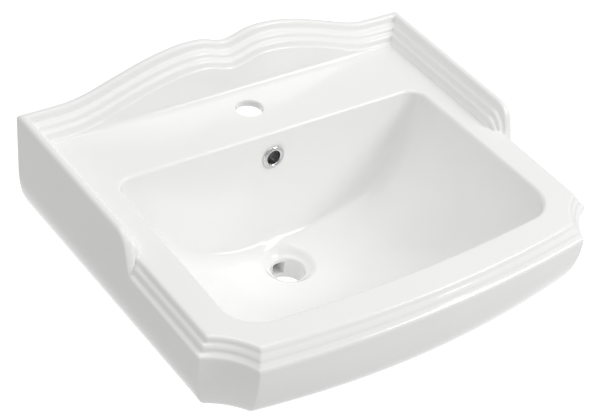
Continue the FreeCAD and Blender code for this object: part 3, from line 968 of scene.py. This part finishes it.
            self.skin.fill([rim, *(hole_rings[face] for hole_rings in holes)], Plane.UPRIGHT)

    # -------- the bowl, its shell and the waste

    def bowl_rings(self, angle: Array) -> tuple[Array, Array, int, int]:
        """The rings of the bowl's grid, all but its rounded edge: along the shell from the ceiling in,
        down the boss, up the bore, out over the dish and up the bowl.

        Args:
            angle: the angles about the waste's axis.

        Returns:
            Distances from the axis and heights, both rings by angles, and the rings where the boss and
            the bore start.
        """
        bowl, wall = self.bowl, self.shell
        under = Hollow(
            half=bowl.half + wall, front=bowl.front + wall, back=bowl.back - wall,
            depth=bowl.depth + wall, corner_back=bowl.corner_back + wall,
            corner_front=bowl.corner_front + wall,
        )
        cos, sin = np.cos(angle), np.sin(angle)
        bore, seat, bottom = self.waste

        def surface(shape: Hollow, radius: Array) -> Array:
            """The height of a hollow at some distances along each angle."""
            return shape.level(radius * cos, radius * sin - bowl.centre)

        def level_rings(values: Array | list[float]) -> Array:
            """One ring for each value, the same at every angle."""
            return np.asarray(values, float)[:, None] + 0 * cos

        edge = under.reach(self.thickness, angle)
        outward = 1 - np.linspace(0, 1, 25)[1:, None] ** 1.8
        shell = np.concatenate([
            self.apron + (edge - self.apron) * outward, level_rings([42.0, 38.0, 35.0, self.boss])
        ])
        shell_z = surface(under, shell)
        fall = level_rings([0.12, 0.3, 0.5, 0.7, 0.9, 0.97])
        boss_z = shell_z[-1:] + (1 - bottom - shell_z[-1:]) * fall
        pipe = np.array([
            (self.boss, 1.0), (self.boss - 1, 0.0), (bore + 1, 0.0), (bore, 1.0), (bore, 4.5), (bore, 8.0),
            (bore, 14.0), (bore, 20.0), (bore, 27.0), (bore, 29.0), (bore, 31.0), (bore + 0.22, 32.4),
            (bore + 0.9, 33.4), (bore + 2.0, bottom - seat),
        ])
        dish = level_rings([bore + 3.2, 26.7, 27.7, 28.7, 29.6, 30.4, 31.1, 31.8, 32.5, 33.3, 34.2, 35.2,
                            36.5, 38.2, 40.7, self.apron])
        flat, run, rise, power = self.dish
        lip = -seat + rise * (np.maximum(dish - flat, 0.0) / run) ** power
        rim = bowl.reach(self.rim, angle)
        inner = self.apron + (rim - self.apron) * (1 - np.linspace(1, 0, 46)[1:-1, None] ** 1.8)
        radius = np.concatenate([
            edge[None], shell, self.boss + 0 * fall, level_rings(pipe[:, 0]), dish, inner
        ])
        z = np.concatenate([
            level_rings([-self.thickness]), shell_z, boss_z, level_rings(pipe[:, 1] - bottom),
            soft_min(surface(bowl, dish), lip, self.dish_blend), surface(bowl, inner),
        ])
        boss_at = 1 + len(shell)
        return radius, z, boss_at, boss_at + len(fall)

    def rim_rings(self, angle: Array) -> Array:
        """The rings of the bowl's rounded edge, a quarter circle square to the edge at every angle.

        Args:
            angle: the angles about the waste's axis.

        Returns:
            Rings by angles by three.
        """
        reach = self.bowl.reach(self.rim, angle)
        line = np.stack([reach * np.cos(angle), reach * np.sin(angle) - self.bowl.centre], axis=-1)
        tangent = np.roll(line, -1, axis=0) - np.roll(line, 1, axis=0)
        outward = np.stack([tangent[:, 1], -tangent[:, 0]], axis=-1)
        outward /= np.linalg.norm(outward, axis=1, keepdims=True)
        a = np.radians(np.linspace(0, 90, 9))
        out = np.r_[self.rim * (1 - np.cos(a)), self.rim + 1.2][:, None]
        up = np.r_[self.rim * np.sin(a) - self.rim, 0.0][:, None]
        return stack(line[:, 0] + outward[:, 0] * out, line[:, 1] + outward[:, 1] * out, up)

    def make_bowl(self) -> None:
        """Builds the bowl, the waste's bore and the shell under them as one grid about the waste's axis,
        with the overflow's hole and the pockets that its channel opens into."""
        angle = self.bowl.spaced(self.rim, self.bowl_places, 30.0)
        radius, z, boss_at, bore_at = self.bowl_rings(angle)
        bowl_at = int(np.argmax(radius[bore_at:].min(axis=1) > self.apron)) + bore_at
        points = np.concatenate([
            stack(radius * np.cos(angle), radius * np.sin(angle) - self.bowl.centre, z),
            self.rim_rings(angle),
        ])
        x = points[..., 0]
        at_back = np.flatnonzero(np.sin(angle) > 0)
        middle = points[:, at_back[np.argmin(np.abs(x[0, at_back]))], 2]

        def above(height: float) -> int:
            """The first ring of the bowl whose middle at the back is above a height."""
            return bowl_at + int(np.argmax(middle[bowl_at:] > height))

        def block(rows: tuple[int, int], width: float, row: int) -> tuple[slice, slice]:
            """The cells between two rows and within a half width of the middle at the back."""
            near = at_back[np.abs(x[row, at_back]) <= width]
            return slice(*rows), slice(int(near.min()), int(near.max()))

        below_ceiling = int(np.argmax(middle[:boss_at] < -self.thickness - 3))
        low, high, width = self.window
        window = block((above(low) - 1, above(high)), width, above(high))
        # the channel's hump behind the bowl, its neck down the boss and its outlet in the bore: their
        # cells, the Y place where they end, how many rings they take and how far they draw in
        pockets = (
            (block((below_ceiling, boss_at - 3), 31.0, 6), -95.0, 9, 5.0),
            (block((boss_at + 2, boss_at + 5), 16.0, boss_at + 2), -118.0, 6, 3.0),
            (block((bore_at + 5, bore_at + 8), self.outlet + 0.5, bore_at + 5), -126.0, 4, 0.5),
        )
        keep = np.ones((len(points) - 1, len(angle)), bool)
        for rows, columns in (window, *(pocket[0] for pocket in pockets)):
            keep[rows, columns] = False
        n = self.skin.grid(points, Seam.CLOSED, keep)
        for cells, end_y, steps, shrink in pockets:
            self.skin.push(self.skin.ring_of(n, *cells), end_y, steps, shrink)
        self.overflow_hole(self.skin.ring_of(n, *window))
        self.shell_ring, self.rim_ring = n[0], n[-1]

    def overflow_hole(self, window: Array) -> None:
        """Closes the window in the bowl's flat back round the overflow's bore, and builds the bore and
        the wider chamber behind it.

        Args:
            window: the loop of points left open in the bowl.
        """
        drop, bore, china = self.overflow
        room, deep = self.chamber
        section = np.array([(bore + 0.5, 0.0), (bore, -0.5), (bore, -china), (room, -china), (room, -deep)])
        n = self.skin.grid(self.bowl.turned(drop, section, 56), Seam.CLOSED)
        self.skin.fill([window, n[0]], Plane.UPRIGHT)
        self.skin.fill([n[-1]], Plane.UPRIGHT)

    def make_decks(self) -> None:
        """Fills the deck and the ceiling under it round the bowl and the tap hole."""
        back, bore, edge = self.tap
        a = np.radians(np.linspace(90, 0, 7))
        down = np.r_[
            [[bore + edge + 0.9, 0.0]],
            np.stack([bore + edge - edge * np.cos(a), edge * np.sin(a) - edge], axis=-1),
            [[bore, 0.8 - self.thickness], [bore + 0.8, -self.thickness]],
        ]
        c = circle(1.0, 64)
        rows = stack(down[:, :1] * c[:, 0], down[:, :1] * c[:, 1] - back, down[:, 1:] + 0 * c[:, 0])
        n = self.skin.grid(rows, Seam.CLOSED)
        self.skin.fill([self.deck_ring, self.rim_ring, n[0]], Plane.LEVEL)
        self.skin.fill([self.ceiling_ring, self.shell_ring, n[-1]], Plane.LEVEL)

    def make(self) -> bpy.types.Object:
        """Builds the whole basin and dresses it in its glaze."""
        self.make_shell()
        self.make_bowl()
        self.make_decks()
        thing = self.skin.build("basin_china")
        thing.data.materials.append(VitreousGlaze().make())
        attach(thing, "root")
        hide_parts("basin")
        return thing


@dataclass
class OverflowTrim:
    """The chromed ring pushed into the overflow hole, and the spring clip behind it."""

    bowl: Hollow
    drop: float
    section: Pairs = (
        (10.5, -9.5), (11.1, -9.5), (11.4, -9.4), (11.5, -9.1), (11.5, -4.0), (11.5, 0.05), (13.5, 0.05),
        (15.1, 0.05), (15.4, 0.15), (15.5, 0.4), (15.5, 0.8), (15.35, 1.25), (14.9, 1.75), (14.2, 2.3),
        (13.4, 2.8), (12.6, 3.1), (11.9, 3.2), (11.2, 3.1), (10.5, 2.8), (9.9, 2.3), (9.5, 1.8),
        (9.3, 1.2), (9.3, 0.4), (9.35, 0.1), (9.6, -0.1), (10.0, -0.2), (10.4, -0.3), (10.5, -0.6),
        (10.5, -5.0),
    )

    def make(self, frame: dict) -> bpy.types.Object:
        """Turns the ring's section about the hole's axis, and dresses the ring and the clip.

        Args:
            frame: what the frame gave on loading.

        Returns:
            The ring.
        """
        section = np.array(self.section)
        skin = Skin()
        skin.grid(self.bowl.turned(self.drop, np.r_[section, section[:1]], 96), Seam.CLOSED)
        ring = skin.build("overflow_ring", sharp=60.0)
        ring.data.materials.append(ChromePlate().make())
        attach(ring, "root")
        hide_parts("overflow_bezel")
        clip = frame["nodes"]["overflow_clip"]
        clip.data.materials.clear()
        clip.data.materials.append(SpringStrip().make())
        return ring


# ---------------------------------------------------------------- the studio


@dataclass(frozen=True)
class Softbox:
    """A large square light: where it stands, what it faces, its side and its power in watts."""

    name: str
    place: tuple[float, float, float]
    facing: tuple[float, float, float]
    side: float
    power: float

    def make(self) -> None:
        """Adds the light, turned from its place towards what it faces."""
        light = bpy.data.lights.new(self.name, "AREA")
        light.shape, light.size, light.energy = "SQUARE", self.side, self.power
        lamp = bpy.data.objects.new(self.name, light)
        bpy.context.scene.collection.objects.link(lamp)
        lamp.location = self.place
        way = Vector(self.facing) - Vector(self.place)
        lamp.rotation_euler = way.to_track_quat("-Z", "Y").to_euler()


@dataclass
class Studio:
    """A pale floor well below the basin with a painted pool of light on it, soft lights and the camera."""

    floor_z: float = -0.85
    floor_half: float = 9.0
    painted_glow: float = 0.5
    glow_middle: tuple[float, float, float] = (0.8, 0.8, 0.0)
    glow_reach: float = 1.75
    glow_even: float = 0.7
    sky: float = 0.50
    lights: tuple[Softbox, ...] = (
        Softbox("key_softbox", (1.95, -1.9, 2.05), (0.0, -0.25, 0.0), 1.3, 32.0),
        Softbox("top_softbox", (-0.1, -0.2, 2.4), (0.0, -0.25, 0.0), 1.8, 15.0),
        Softbox("low_softbox", (1.9, -1.2, 0.8), (0.0, -0.3, -0.05), 1.0, 1.0),
    )
    eye: tuple[float, float, float] = (-0.8365, -1.2565, 1.0039)
    yaw: float = 38.37
    pitch: float = 38.60
    roll: float = 7.08
    lens: float = 83.97

    def make(self) -> None:
        """Builds the floor, the sky, the lights and the camera."""
        self.make_floor()
        self.make_sky()
        for light in self.lights:
            light.make()
        bpy.context.scene.view_settings.view_transform = "Standard"
        self.make_camera()

    def make_floor(self) -> None:
        """Adds the floor with a painted pool of light: a patch behind the basin glows softly by emission and
        fades outwards, standing in for a backdrop lit by a lamp.
        """
        skin = Skin()
        line = np.linspace(-1, 1, 9) * self.floor_half / MM
        skin.grid(stack(line[:, None], line[None, :], self.floor_z / MM))
        floor = skin.build("studio_floor")
        material, tree, shader = Finish("matt_white_board_painted_glow", "f6f6f6", 0.9).start()
        shader.inputs["Emission Color"].default_value = linear("ffffff")
        place = add_node(tree, "ShaderNodeTexCoord", {}).outputs["Object"]
        offset = add_node(
            tree, "ShaderNodeVectorMath", {"operation": "DISTANCE", 1: self.glow_middle}
        )
        tree.links.new(place, offset.inputs[0])
        # painted pool of light on the floor: full emission near glow_middle, fading to none at glow_reach
        glow = add_node(
            tree,
            "ShaderNodeMapRange",
            {
                "interpolation_type": "SMOOTHSTEP",
                "From Min": self.glow_reach * self.glow_even,
                "From Max": self.glow_reach,
                "To Min": self.painted_glow,
                "To Max": 0.0,
            },
            Value=offset.outputs["Value"],
        )
        tree.links.new(glow.outputs[0], shader.inputs["Emission Strength"])
        floor.data.materials.append(material)

    def make_sky(self) -> None:
        """Adds an even white sky."""
        world = bpy.data.worlds.new("pale_sky")
        bpy.context.scene.world = world
        world.use_nodes = True
        tree = world.node_tree
        tree.nodes.clear()
        sky = add_node(
            tree, "ShaderNodeBackground", {"Color": linear("ffffff"), "Strength": self.sky}
        )
        add_node(tree, "ShaderNodeOutputWorld", {}, Surface=sky.outputs[0])

    def make_camera(self) -> None:
        """Adds the camera. It is turned by yaw about the vertical, tipped down by pitch and then rolled
        about its own line of sight."""
        yaw, pitch, roll = (math.radians(v) for v in (self.yaw, self.pitch, self.roll))
        ahead = Vector((math.sin(yaw) * math.cos(pitch), math.cos(yaw) * math.cos(pitch), -math.sin(pitch)))
        right = Vector((math.cos(yaw), -math.sin(yaw), 0.0))
        up = right.cross(ahead)
        across = right * math.cos(roll) + up * math.sin(roll)
        upward = up * math.cos(roll) - right * math.sin(roll)
        lens = bpy.data.cameras.new("studio_camera")
        lens.lens, lens.sensor_width, lens.sensor_fit = self.lens, 36.0, "HORIZONTAL"
        lens.clip_start, lens.clip_end = 0.05, 60.0
        camera = bpy.data.objects.new("studio_camera", lens)
        bpy.context.scene.collection.objects.link(camera)
        turn = Matrix((across, upward, -ahead)).transposed().to_4x4()
        camera.matrix_world = Matrix.Translation(Vector(self.eye)) @ turn
        bpy.context.scene.camera = camera


def main() -> None:
    """Builds the part round its frame, piece by piece."""
    logging.basicConfig(level=logging.INFO, format="%(message)s")
    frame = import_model()
    basin = Basin()
    basin.make()
    OverflowTrim(basin.bowl, basin.overflow[0]).make(frame)
    Studio().make()


if __name__ == "__main__":
    main()
